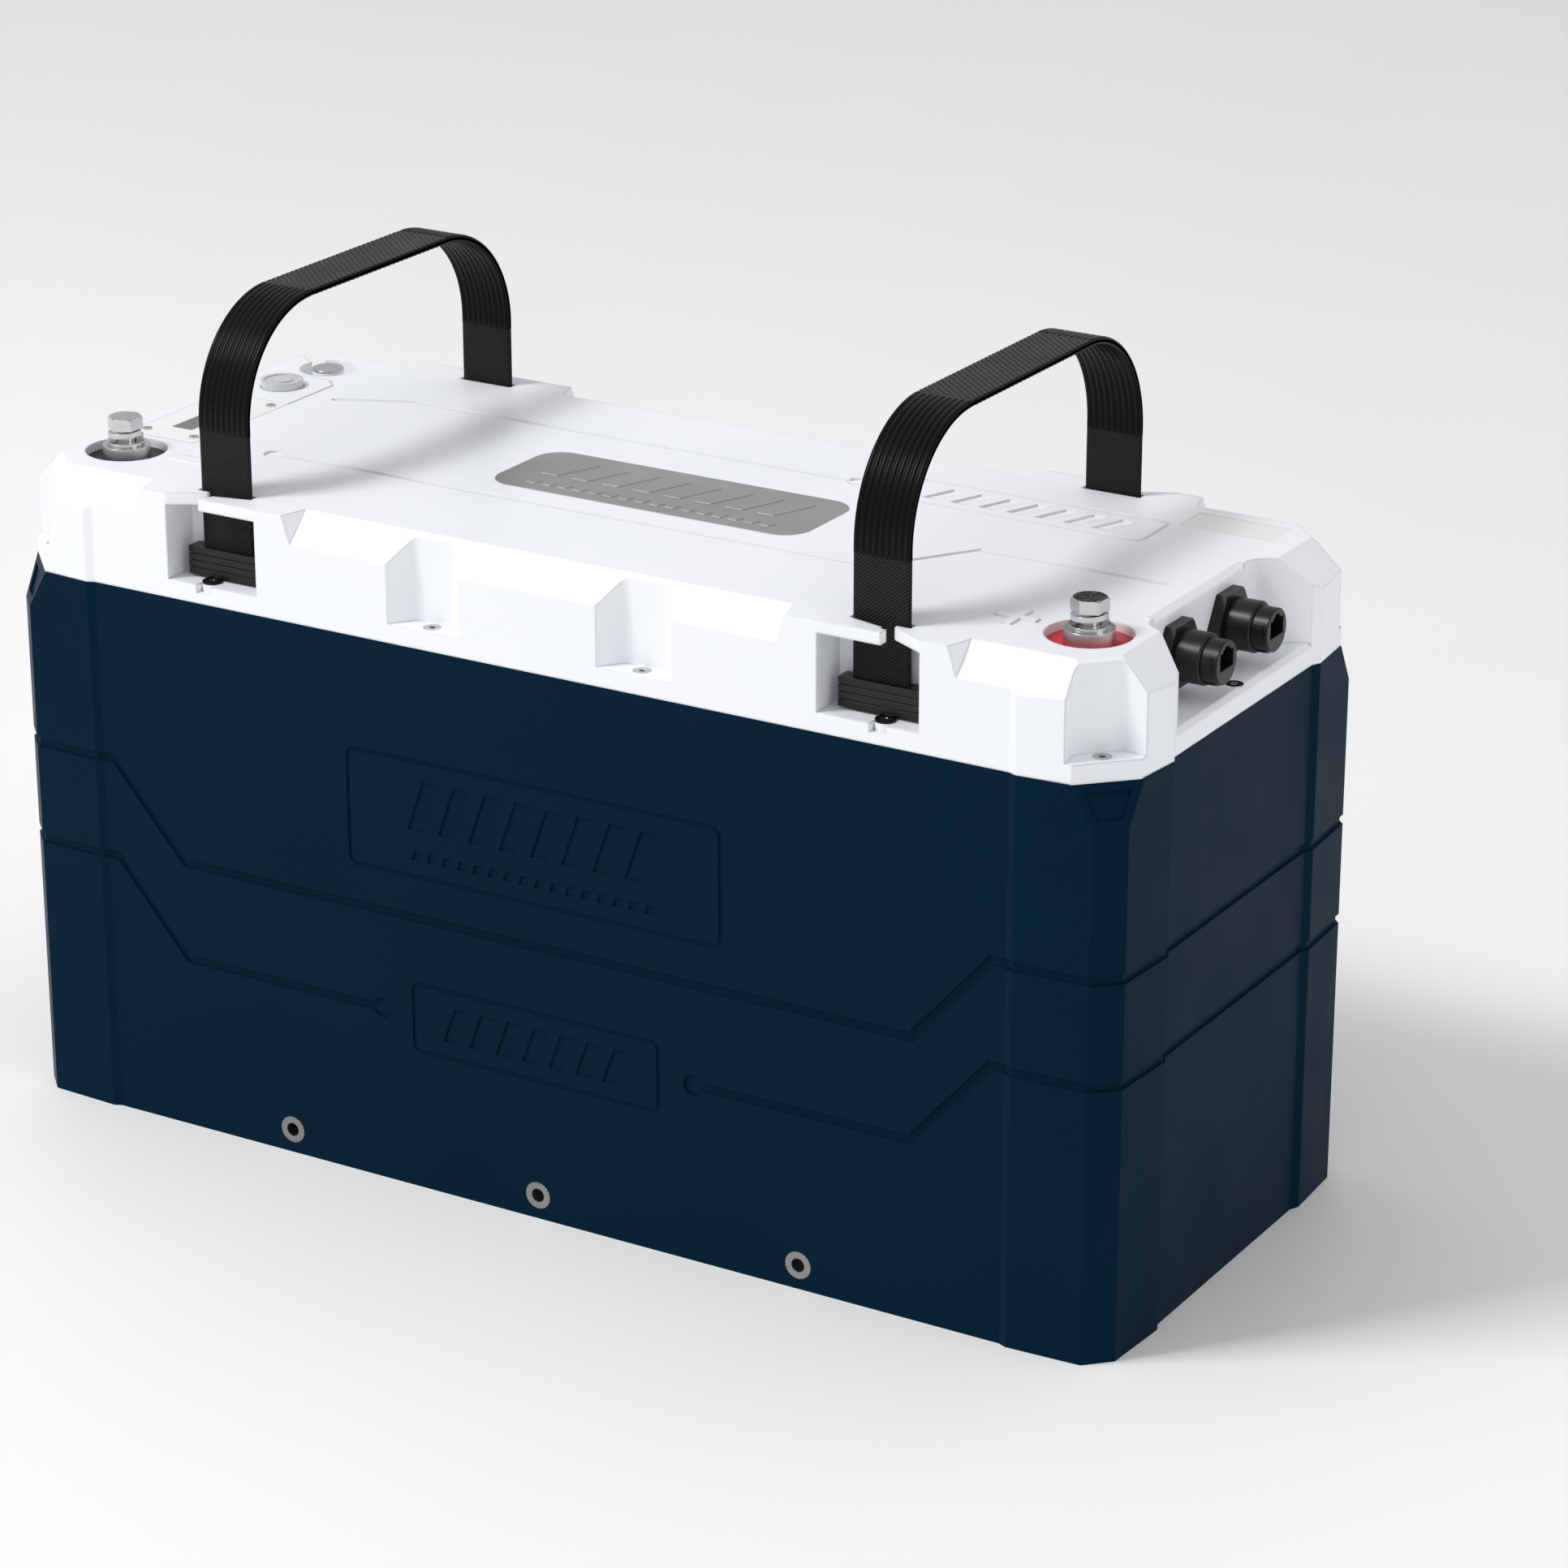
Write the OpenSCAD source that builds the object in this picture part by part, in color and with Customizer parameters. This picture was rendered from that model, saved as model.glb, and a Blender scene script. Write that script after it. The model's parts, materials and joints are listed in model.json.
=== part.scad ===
// Deep cycle battery: a moulded tub with a screwed lid, two webbing handles,
// two bolted terminals, a control panel and two network ports, with the cells,
// links, leads and battery management board inside.
// X runs along the length, the long front faces -Y, and the base rests on Z = 0.

/* [Case] */
// Length over the corner posts
case_l = 530; // [520:1:540]
// Width over the corner posts
case_w = 217; // [212:1:222]
// Height of the tub, up to the seam with the lid
case_h = 240; // [238:1:246]
// Thickness of the moulded walls
wall = 3; // [2.5:0.5:4]
// Distance that the side panels stand back from the posts
panel_step = 1.5; // [1:0.5:2]
// Width of the decorative channels round the tub
channel_w = 4; // [3:0.5:5]
// Depth of the channels
channel_d = 1.2; // [0.8:0.1:1.6]

/* [Lid] */
// Height of the lid above the seam
lid_h = 45.4; // [44:0.2:48]
// Size of the bevel round the top of the lid
bevel = 12; // [10:0.5:13]
// Thickness of the lid's top plate
plate = 3.5; // [3:0.5:4]
// Height of the screw ledges above the seam
ledge = 8; // [7:0.5:9]

/* [Handles] */
// Distance of each handle from the middle of the lid
handle_x = 155; // [153:0.5:157]
// Distance of each handle leg from the centre line
leg_y = 95; // [94.5:0.5:95.5]
// Width of the webbing
web_w = 25; // [24:0.5:26]
// Thickness of the webbing
web_t = 2; // [1.6:0.1:2.2]
// Height of the top of the handle above the lid
handle_h = 77; // [70:1:85]
// Radius of the bends of the handle
handle_r = 48; // [44:1:50]

/* [Terminals and ports] */
// Distance of the terminals from the middle of the length
terminal_x = 229; // [227:0.5:230]
// Distance of the terminals from the centre line
terminal_y = 67; // [65:0.5:68]
// Diameter of a terminal post
post_d = 20; // [18:0.5:21]
// Half the spacing of the two network ports
port_y = 22; // [20:0.5:24]
// Travel of the power button
button_travel = 1.5; // [1:0.1:2]

/* [Threaded inserts] */
// Spacing of the inserts low on the long sides
insert_pitch = 125; // [120:1:130]
// Height of the inserts above the base
insert_z = 10.5; // [10:0.5:13]

/* [Cells] */
// Length of a cell across the battery
cell_w = 160; // [156:1:162]
// Thickness of a cell along the battery
cell_t = 49; // [47:0.5:49]
// Height of a cell's can
cell_h = 114; // [110:1:115]
// Cells in each of the two layers
cells_per_layer = 8; // [8]

/* [Hidden] */

$fn = 64;
eps = 0.01;
hl = case_l / 2;                  // half length over the posts
hw = case_w / 2;                  // half width over the posts
panel_y = hw - panel_step;        // face of the long side panels
panel_x = 217;                    // where those panels end
step_run = 3.5;                   // run of the slope from panel to post
end_x = hl - 2;                   // face of the end panels
end_y = 60.5;                     // where those panels end
foot_cut = 10;                    // corner cut of the tub
seam_cut = 19.5;                  // corner cut at the seam and of the lid
facet_z = case_h - 17;            // where the corner facets start
lid_top = case_h + lid_h;
shoulder = lid_top - bevel;       // bottom of the lid's bevel
floor_z = case_h + ledge;         // top of the screw ledges
plate_z = lid_top - plate;        // underside of the top plate
corner_d = (end_x + panel_y - seam_cut) / sqrt(2); // corner face to the middle

// Plan outline of one quarter, inset by d, with its corner cut off by cut
function quarter(d, cut) = [
    [panel_x, panel_y - d],
    [panel_x + step_run, hw - d],
    [end_x - cut - 0.41 * d, panel_y - d],
    [end_x - d, panel_y - cut - 0.41 * d],
    [hl - d, end_y + 4],
    [end_x - d, end_y]
];
function flip(points, sx, sy) = [for (p = points) [p.x * sx, p.y * sy]];
function backwards(points) = [for (i = [len(points) - 1 : -1 : 0]) points[i]];
function outline(d, cut) = let (q = quarter(d, cut)) concat(
    q, backwards(flip(q, 1, -1)), flip(q, -1, -1), backwards(flip(q, -1, 1))
);

// Band of width w that follows a path of points
function side(path, i, w) =
    let (
        a = path[max(i - 1, 0)],
        b = path[i],
        c = path[min(i + 1, len(path) - 1)],
        u = i == 0 ? unit(c - b) : unit(b - a),
        v = i == len(path) - 1 ? u : unit(c - b),
        m = unit([-(u.y + v.y), u.x + v.x])
    ) b + m * w / 2 / (m * [-u.y, u.x]);
function unit(v) = v / norm(v);
function band(path, w) = concat(
    [for (i = [0 : len(path) - 1]) side(path, i, w)],
    [for (i = [len(path) - 1 : -1 : 0]) side(path, i, -w)]
);

module rounded_rect(w, h, r) {
    square([w - 2 * r, h], center = true);
    square([w, h - 2 * r], center = true);
    for (x = [-1, 1], y = [-1, 1])
        translate([x * (w / 2 - r), y * (h / 2 - r)]) circle(r);
}

module rounded_frame(w, h, r, line) {
    difference() {
        rounded_rect(w, h, r);
        rounded_rect(w - 2 * line, h - 2 * line, r - line);
    }
}

// Row of slanted bars, which stands where a maker would put a name
module slanted_bars(count, pitch, bar_w, h, slant) {
    for (i = [0 : count - 1])
        translate([(i - (count - 1) / 2) * pitch, 0])
            polygon([
                [-bar_w / 2 - slant, -h / 2], [bar_w / 2 - slant, -h / 2],
                [bar_w / 2 + slant, h / 2], [-bar_w / 2 + slant, h / 2]
            ]);
}

// Sets a flat drawing upright, so that it faces along Y
module upright(thick) {
    rotate([90, 0, 0]) linear_extrude(thick, center = true) children();
}

// ---- places of the fasteners -------------------------------------------------

edge_in = 6.2;                    // screw axis to the lid's outer face
pocket_x = 50;                    // screw pockets on the long sides
corner_screw = (corner_d - edge_in) / sqrt(2);
corner_shift = (end_x - panel_y) / 2;
strap_screw = [160, panel_y - edge_in];
ledge_screw_spot = [end_x - 5, 0];
pocket_screw_spots = concat(
    [for (x = [-1, 1], y = [-1, 1]) [x * pocket_x, y * (panel_y - edge_in)]],
    [for (x = [-1, 1], y = [-1, 1]) [x * (corner_screw + corner_shift), y * (corner_screw - corner_shift)]],
    [[edge_in - end_x, 0]]
);
strap_screw_spots = [for (x = [-1, 1], y = [-1, 1]) [x * strap_screw.x, y * strap_screw.y]];
all_screw_spots = concat(pocket_screw_spots, strap_screw_spots, [ledge_screw_spot]);
screw_r = 2;                      // M4 lid screws
screw_l = 20;
head_r = 3.8;
head_h = 2.4;
boss_r = 5.5;
washer_r = 4.2;                   // washers of the strap pockets
washer_h = 0.9;
button_head_r = 2.6;

// ---- tub ---------------------------------------------------------------------

channel_out = 211;                // where the channels leave the posts' level
channel_in = 176;                 // where they reach the lower level
channel_drop = 40;
upper_channel_z = 162;
lower_channel_z = 118;
lower_channel_end = 76;

module channels() {
    far = hl + 10;
    low = upper_channel_z - channel_drop;
    low2 = lower_channel_z - channel_drop;
    upright(3 * hw) {
        polygon(band([
            [-far, upper_channel_z], [-channel_out, upper_channel_z], [-channel_in, low],
            [channel_in, low], [channel_out, upper_channel_z], [far, upper_channel_z]
        ], channel_w));
        for (s = [-1, 1]) {
            polygon(band([
                [s * far, lower_channel_z], [s * channel_out, lower_channel_z],
                [s * channel_in, low2], [s * lower_channel_end, low2]
            ], channel_w));
            translate([s * lower_channel_end, low2]) circle(channel_w * 1.15);
        }
    }
}

badge_z = 165.8;
badge_size = [181, 52.6];
small_badge_z = 77.5;
small_badge_size = [121.5, 32];
line_w = 2;

// Framed badges with plain slanted bars on the long front
module badge_lines() {
    translate([0, badge_z]) {
        rounded_frame(badge_size.x, badge_size.y, 5, line_w);
        translate([0, 6]) slanted_bars(8, 15, 8, 22, 4);
        translate([0, -16]) slanted_bars(16, 7.5, 4, 4, 0.7);
    }
    translate([0, small_badge_z]) {
        rounded_frame(small_badge_size.x, small_badge_size.y, 4, line_w);
        slanted_bars(7, 13, 7, 16, 3);
    }
}

insert_r = 5.8;
insert_l = 12;
collar_r = 6.2;
collar_l = 1.5;

module insert_axes(side) {
    for (i = [-1 : 1])
        translate([i * insert_pitch, side * panel_y, insert_z])
            rotate([side * 90, 0, 0]) children();
}

facet_tilt = atan((seam_cut - foot_cut) / sqrt(2) / (case_h - facet_z));

// Places children on each tilted facet under the lid's corners
module on_facets() {
    for (x = [0, 1], y = [0, 1])
        mirror([x, 0, 0]) mirror([0, y, 0])
            translate([corner_shift, -corner_shift, case_h])
                rotate([0, 0, 45]) translate([corner_d, 0, 0]) rotate([0, -facet_tilt, 0]) children();
}

module corner_facets() {
    on_facets() {
        translate([0, -40, -40]) cube([30, 80, 60]);
        translate([-1, 0, -9]) rotate([90, 0, 90])
            linear_extrude(10) polygon([[-9.7, 5.5], [9.7, 5.5], [5.2, -5.5], [-5.2, -5.5]]);
    }
}

module case() {
    color([0.06, 0.15, 0.22]) difference() {
        union() {
            case_shell();
            case_bosses();
        }
        for (p = all_screw_spots) translate([p.x, p.y, case_h - screw_l]) cylinder(h = boss_l, r = screw_r);
    }
}

module case_shell() {
    difference() {
        linear_extrude(case_h) polygon(outline(0, foot_cut));
        translate([0, 0, wall + 1]) linear_extrude(case_h) polygon(outline(wall + channel_d, foot_cut + 10));
        corner_facets();
        difference() {
            channels();
            linear_extrude(case_h) polygon(outline(channel_d, foot_cut));
        }
        difference() {
            translate([0, -panel_y, 0]) upright(10) badge_lines();
            linear_extrude(case_h) polygon(outline(0.7, foot_cut));
        }
        for (s = [-1, 1]) insert_axes(s) {
            translate([0, 0, -1]) cylinder(h = insert_l + 2, r = insert_r);
            translate([0, 0, -1]) cylinder(h = collar_l + 1, r = collar_r);
        }
    }
}

boss_l = 30;

// Screw bosses under the seam and pads behind the inserts
module case_bosses() {
    intersection() {
        linear_extrude(case_h) polygon(outline(wall, foot_cut + 10));
        for (p = all_screw_spots)
            translate([p.x, p.y, case_h - boss_l]) cylinder(h = boss_l, r = boss_r);
    }
    for (s = [-1, 1]) insert_axes(s)
        translate([0, 0, wall + 0.5]) difference() {
            cylinder(h = insert_l + 1, r = 9);
            translate([0, 0, -1]) cylinder(h = insert_l - wall + 1.5, r = insert_r);
        }
}

knurl_teeth = 26;
insert_bore_r = 3;

// Brass-cored steel thread inserts with a toothed collar
module inserts(side) {
    color([0.66, 0.66, 0.66])
        insert_axes(side) difference() {
            union() {
                cylinder(h = insert_l, r = insert_r);
                linear_extrude(collar_l) {
                    circle(collar_r - 1);
                    for (i = [0 : knurl_teeth - 1])
                        rotate(i * 360 / knurl_teeth) translate([collar_r - 0.75, 0])
                            circle(0.7, $fn = 4);
                }
            }
            translate([0, 0, -eps]) cylinder(h = insert_l - 1, r = insert_bore_r);
        }
}

// ---- lid ---------------------------------------------------------------------

tower_in = 119;                   // the handle towers have no bevel
tower_out = 190;
tower_flare = 17;                 // slant of their flanks, in degrees
recess_mouth_y = 59;              // half width of the port recess at its mouth
recess_back_y = 45;
recess_x = 242;                   // wall that carries the ports
ledge_z = case_h + 10;            // floor of the port recess
strap_pocket_w = 45;
strap_pocket_x = 155.5;
strap_floor = floor_z;
strap_ceiling = case_h + 40.3;
strap_back = 90;

// Wedge above the 45 degree bevel plane of a wall at distance d
module bevel_wedge(angle, d, from, to) {
    rotate([0, 0, angle]) translate([0, to, 0]) rotate([90, 0, 0])
        linear_extrude(to - from)
            polygon([
                [d - bevel, lid_top], [d + 8, shoulder - 8], [d + 8, lid_top + 5], [d - bevel, lid_top + 5]
            ]);
}

// Block that keeps the bevel off a handle tower, with slanted flanks
module tower_block() {
    half = (tower_out - tower_in) / 2;
    translate([tower_in + half, -panel_y, lid_top]) difference() {
        translate([-half - 8, -8, -2 * bevel]) cube([2 * half + 16, bevel + 10, 3 * bevel]);
        for (s = [0, 1]) mirror([s, 0, 0]) translate([half, 0, 0])
            rotate([0, -tower_flare, -tower_flare]) translate([0, -40, -40]) cube(80);
    }
}

module lid_bevels() {
    difference() {
        for (a = [90, -90]) bevel_wedge(a, panel_y, -hl - 5, hl + 5);
        at_straps() tower_block();
    }
    for (a = [0, 180]) bevel_wedge(a, end_x, -hw - 5, hw + 5);
    for (x = [0, 1], y = [0, 1])
        mirror([x, 0, 0]) mirror([0, y, 0])
            translate([corner_shift, -corner_shift, 0]) bevel_wedge(45, corner_d, -30, 30);
}

pocket_mouth = 17.6;
pocket_back = 9.8;
pocket_depth = 10.3;

// Plan of a notch into an edge at X = 0, with slanted sides and round inner corners, grown by g.
// mouth and back are its half widths at the edge and at depth.
module notch_plan(mouth, back, depth, r, g) {
    x = depth + g;
    slope = atan2(depth, mouth - back);
    edge = back + g;
    cx = r - x;
    cy = edge - r * (1 - cos(slope)) / sin(slope);
    far = edge + (x + 2) / tan(slope);
    polygon([
        [-x, -cy], [cx - r * cos(slope), -cy - r * sin(slope)], [2, -far],
        [2, far], [cx - r * cos(slope), cy + r * sin(slope)], [-x, cy]
    ]);
    for (s = [-1, 1]) translate([cx, s * cy]) circle(r);
}

module pocket_plan(g) {
    notch_plan(pocket_mouth, pocket_back, pocket_depth, 5, g);
}

// Screw pockets on the long sides, on the four corners and at the -X end
module screw_pockets(g, z) {
    translate([-end_x, 0, z]) rotate([0, 0, 180]) linear_extrude(2 * lid_h) pocket_plan(g);
    for (x = [-1, 1], a = [90, -90])
        translate([x * pocket_x, 0, z]) rotate([0, 0, a]) translate([panel_y, 0, 0])
            linear_extrude(2 * lid_h) pocket_plan(g);
    for (x = [0, 1], y = [0, 1])
        mirror([x, 0, 0]) mirror([0, y, 0])
            translate([corner_shift, -corner_shift, z]) rotate([0, 0, 45])
                translate([corner_d, 0, 0]) linear_extrude(2 * lid_h) pocket_plan(g);
}

// Recess at the +X end for the ports, grown by g
module port_recess(g, z) {
    translate([end_x, 0, z]) linear_extrude(2 * lid_h)
        notch_plan(recess_mouth_y, recess_back_y, end_x - recess_x, 8, g);
}

// Bevels along the top and bottom edges of the port recess
module recess_bevels() {
    rise = 2.5;
    fall = 2;
    upright(2 * recess_back_y - 12) polygon([
        [recess_x - rise, lid_top + eps], [recess_x + 1, lid_top - rise - 1], [recess_x + 1, lid_top + eps]
    ]);
    upright(2 * recess_mouth_y) polygon([
        [end_x - fall, ledge_z + eps], [end_x + eps, ledge_z - fall], [hl + 1, ledge_z - fall], [hl + 1, ledge_z + eps]
    ]);
}

// Places children at each strap pocket: its own X runs outboard, -Y is the open front
module at_straps() {
    for (x = [0, 1], y = [0, 1]) mirror([x, 0, 0]) mirror([0, y, 0]) children();
}

module strap_pocket(g) {
    at_straps() translate([strap_pocket_x - strap_pocket_w / 2 - g, -hw - 10, strap_floor - g])
        cube([strap_pocket_w + 2 * g, hw + 10 - strap_back + g, strap_ceiling - strap_floor + g]);
}

slit = 1.4;

// Slot for the webbing, which opens to the front between two slanted arms
module strap_slot() {
    in_x = handle_x - web_w / 2 - 0.8;
    out_x = handle_x + web_w / 2 + 1;
    tip = 161;
    at_straps() translate([0, 0, strap_floor + 5]) linear_extrude(lid_h)
        polygon([
            [in_x, -leg_y + 2.3], [in_x, -leg_y - 1.8], [tip, -leg_y - 6.5], [tip, -hw - 5],
            [strap_pocket_x + strap_pocket_w / 2, -hw - 5], [strap_pocket_x + strap_pocket_w / 2, -panel_y],
            [tip + slit, -leg_y - 3.6], [tip + slit, -leg_y - 1.8], [out_x, -leg_y - 1.8], [out_x, -leg_y + 2.3]
        ]);
}

// Notch in the pocket's rim, which leaves the screw on a small round stub
module strap_notches() {
    at_straps() translate([strap_screw.x, -strap_screw.y, floor_z - 3.5]) difference() {
        translate([-3.7, -20, 0]) cube([7.4, 20, 10]);
        translate([0, 0, -1]) cylinder(h = 12, r = washer_r);
    }
}

well_r = 17.3;
well_floor = lid_top - 3.6;
vent_spot = [-228, 76];
vent_well_r = 12.5;
vent_floor = lid_top - 9;
panel_cx = -227.5;                // middle of the control strip
panel_w = 35;
bezel_from = 21.5;
bezel_to = 60.5;
panel_from = -46;
inlay = 0.8;                      // depth of the seats for plates and labels
name_size = [150, 51];
label_size = [40, 18];
label_spot = [218.5, 78.5];
button_spot = [-228.5, 42.5];
button_r = 9.3;
window_size = [10.5, 42];
window_spot = [-227.5, -10];

// Grooves of the trace lines and the symbols pressed into the lid's top
module lid_lines() {
    trace = 2.2;
    polygon(band([[-197, 38], [-165, 53], [58, 53]], trace));
    polygon(band([[-172, -40], [118, -40], [145, 0], [228, 0]], trace));
    translate([-197, 38]) circle(1.3);
    translate([58, 53]) circle(4.2);
    translate([-172, -40]) circle(4.2);
    translate([137, 56]) {
        rounded_frame(116, 29, 4, 1.4);
        slanted_bars(7, 13, 7, 15, 3);
    }
}

// Plus and minus signs beside the terminals
module polarity_signs() {
    for (x = [-197, 197]) translate([x, -65]) square([18, 4], center = true);
    translate([197, -65]) square([4, 18], center = true);
}

module bezel_plan(g) {
    cut = 6;
    x = panel_w / 2 + g;
    polygon([
        [panel_cx - x, bezel_from], [panel_cx + x, bezel_from], [panel_cx + x, bezel_to + g - cut],
        [panel_cx + x - cut, bezel_to + g], [panel_cx - x + cut, bezel_to + g], [panel_cx - x, bezel_to + g - cut]
    ]);
}

module lid_seats() {
    translate([0, 0, lid_top - inlay]) linear_extrude(5) {
        rounded_rect(name_size.x + 0.4, name_size.y + 0.4, 12.2);
        translate(label_spot) square([label_size.x + 0.2, label_size.y + 0.2], center = true);
        translate([panel_cx - panel_w / 2, panel_from]) square([panel_w, bezel_from - panel_from + eps]);
        bezel_plan(0.4);
    }
    translate([0, 0, lid_top - 0.9]) linear_extrude(5) lid_lines();
}

// Holes through the top plate for the posts, the vent, the button and the display
module lid_holes() {
    for (x = [-1, 1]) translate([x * terminal_x, -terminal_y, plate_z - 20]) cylinder(h = 40, r = well_r);
    translate([vent_spot.x, vent_spot.y, vent_floor]) cylinder(h = 20, r = vent_well_r);
    translate([vent_spot.x, vent_spot.y, vent_floor + 2]) rotate([0, 0, 146])
        translate([0, -3.2, 0]) cube([60, 6.4, 20]);
    translate([vent_spot.x, vent_spot.y, plate_z - 20]) cylinder(h = 40, r = 5);
    translate([button_spot.x, button_spot.y, plate_z - 20]) cylinder(h = 40, r = button_r + 0.6);
    translate([window_spot.x, window_spot.y, plate_z]) cube([window_size.x - 1, window_size.y - 2, 40], center = true);
    for (y = [-1, 1]) translate([recess_x - 10, y * port_y, port_z]) rotate([0, 90, 0])
        cylinder(h = 20, r = port_thread_r);
    for (p = panel_screw_spots) translate([p.x, p.y, plate_z - 20]) cylinder(h = 40, r = 1);
}

panel_screw_spots = [for (x = [-1, 1], y = [-1, 1]) [panel_cx + x * 12.5, -11.5 + y * 27.3]];

module lid_outer() {
    translate([0, 0, case_h]) linear_extrude(lid_h) polygon(outline(0, seam_cut));
}

// Hollow of the lid, which leaves a wall round every pocket
module lid_hollow() {
    low = case_h - 1;
    difference() {
        intersection() {
            translate([0, 0, low]) linear_extrude(plate_z - low) polygon(outline(wall, seam_cut));
            rotate([0, 0, 0]) hollow_bevel();
        }
        screw_pockets(wall, low - 1);
        port_recess(wall, low - 1);
        strap_pocket(wall);
        at_straps() translate([strap_pocket_x - strap_pocket_w / 2 - wall, -hw - 10, low - 1])
            cube([strap_pocket_w + 2 * wall, hw + 10 - strap_back + wall, strap_floor - low]);
        for (x = [-1, 1]) translate([x * terminal_x, -terminal_y, plate_z - 10]) cylinder(h = 20, r = well_r + wall);
        translate([vent_spot.x, vent_spot.y, vent_floor - wall]) cylinder(h = 20, r = vent_well_r + wall);
        translate([vent_spot.x, vent_spot.y, vent_floor - 1]) rotate([0, 0, 146])
            translate([0, -3.2 - wall, 0]) cube([60, 6.4 + 2 * wall, 20]);
    }
}

// Keeps the hollow a wall's thickness under the bevel
module hollow_bevel() {
    gap = wall * sqrt(2);
    difference() {
        translate([0, 0, case_h + lid_h / 2]) cube([2 * hl, 2 * hw, 3 * lid_h], center = true);
        translate([0, 0, -gap]) {
            for (a = [90, -90]) bevel_wedge(a, panel_y, -hl, hl);
            for (a = [0, 180]) bevel_wedge(a, end_x, -hw, hw);
            for (x = [0, 1], y = [0, 1])
                mirror([x, 0, 0]) mirror([0, y, 0])
                    translate([corner_shift, -corner_shift, 0]) bevel_wedge(45, corner_d, -60, 60);
        }
    }
}

module lid() {
    color([0.93, 0.94, 0.98]) {
        difference() {
            lid_outer();
            lid_bevels();
            screw_pockets(0, floor_z);
            port_recess(0, ledge_z);
            recess_bevels();
            strap_pocket(0);
            strap_slot();
            strap_notches();
            lid_seats();
            lid_holes();
            lid_hollow();
            for (p = all_screw_spots) translate([p.x, p.y, case_h - 1]) cylinder(h = 60, r = screw_r);
            for (p = pocket_screw_spots) countersink(p, floor_z);
            countersink(ledge_screw_spot, ledge_z);
        }
        translate([0, 0, lid_top - eps]) linear_extrude(0.8 + eps) polarity_signs();
    }
}

module countersink(p, z) {
    translate([p.x, p.y, z - head_h]) cylinder(h = head_h, r1 = screw_r, r2 = head_r);
}

module lid_gasket() {
    color([0.1, 0.1, 0.1]) translate([0, 0, case_h - 2.5]) linear_extrude(2.5) difference() {
        polygon(outline(wall + channel_d + 0.2, foot_cut + 11));
        polygon(outline(wall + channel_d + 3, foot_cut + 14));
        for (p = all_screw_spots) translate(p) circle(boss_r + 0.3);
    }
}

// Countersunk screw whose head lies level with z
module countersunk_screw(p, z) {
    translate([p.x, p.y, z]) difference() {
        union() {
            translate([0, 0, -head_h]) cylinder(h = head_h, r1 = screw_r, r2 = head_r);
            translate([0, 0, case_h - screw_l + 1 - z]) cylinder(h = z - case_h + screw_l - 1 - head_h, r = screw_r);
        }
        translate([0, 0, -1.4]) cylinder(h = 2, r = 1.5, $fn = 6);
    }
}

module lid_screws() {
    color([0.72, 0.72, 0.73]) {
        for (p = pocket_screw_spots) countersunk_screw(p, floor_z);
        countersunk_screw(ledge_screw_spot, ledge_z);
    }
}

// Small round-headed screws, each sunk in its washer
module pocket_screws() {
    color([0.72, 0.72, 0.73]) for (p = strap_screw_spots) translate([p.x, p.y, case_h - screw_l + 1]) difference() {
        union() {
            cylinder(h = strap_floor - case_h + screw_l - 1 + eps, r = screw_r);
            translate([0, 0, strap_floor - case_h + screw_l - 1]) cylinder(h = washer_h - 0.2, r = button_head_r);
        }
        translate([0, 0, strap_floor - case_h + screw_l - 2]) cylinder(h = 3, r = 1.1, $fn = 6);
    }
}

module pocket_washers() {
    color([0.05, 0.05, 0.05])
        for (p = strap_screw_spots) translate([p.x, p.y, strap_floor]) difference() {
            cylinder(h = washer_h, r = washer_r);
            translate([0, 0, -1]) cylinder(h = 3, r = button_head_r);
        }
}

// ---- plates, display and button ------------------------------------------------

module nameplate() {
    color([0.55, 0.55, 0.55]) translate([0, 0, lid_top - inlay]) {
        linear_extrude(inlay) rounded_rect(name_size.x, name_size.y, 12);
        translate([0, 0, inlay]) linear_extrude(0.3) {
            translate([0, 5]) slanted_bars(8, 15, 8, 20, 4);
            translate([0, -16]) slanted_bars(16, 7.5, 4, 4, 0.7);
        }
    }
}

module end_label() {
    color([0.97, 0.97, 0.95]) translate([label_spot.x, label_spot.y, lid_top - inlay])
        linear_extrude(inlay - 0.1) square(label_size, center = true);
}

panel_t = 0.9;

module control_panel() {
    color([0.97, 0.97, 0.97]) translate([0, 0, lid_top - inlay]) linear_extrude(panel_t) difference() {
        translate([panel_cx - panel_w / 2 + 0.2, panel_from + 0.2])
            square([panel_w - 0.4, bezel_from - panel_from - 0.4]);
        translate(window_spot) square(window_size, center = true);
        for (p = panel_screw_spots) translate(p) circle(1);
    }
}

module panel_screws() {
    color([0.6, 0.6, 0.6]) for (p = panel_screw_spots)
        translate([p.x, p.y, lid_top - inlay + panel_t]) difference() {
            union() {
                cylinder(h = 0.5, r = 2.1);
                translate([0, 0, -7]) cylinder(h = 7, r = 1);
            }
            translate([0, 0, 0.2]) cylinder(h = 1, r = 0.9, $fn = 6);
        }
}

module display_window() {
    color([0.35, 0.31, 0.3, 0.6]) translate([window_spot.x, window_spot.y, lid_top - inlay])
        linear_extrude(panel_t) square([window_size.x - 0.2, window_size.y - 0.2], center = true);
}

module display_board() {
    color([0.1, 0.35, 0.2]) translate([window_spot.x, window_spot.y, plate_z - 3]) {
        translate([-10, -26, -1.6]) cube([20, 52, 1.6]);
        for (i = [-2 : 2]) translate([0, i * 8, 0]) cylinder(h = 2, r = 1.5);
    }
}

module button_bezel() {
    color([0.93, 0.94, 0.98]) translate([0, 0, lid_top - inlay]) difference() {
        linear_extrude(inlay + 0.3) bezel_plan(0);
        translate([button_spot.x, button_spot.y, -1]) cylinder(h = 5, r = button_r + 0.3);
    }
}

button_top = lid_top + 3.4;
spring_z = lid_top - 11;

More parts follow.
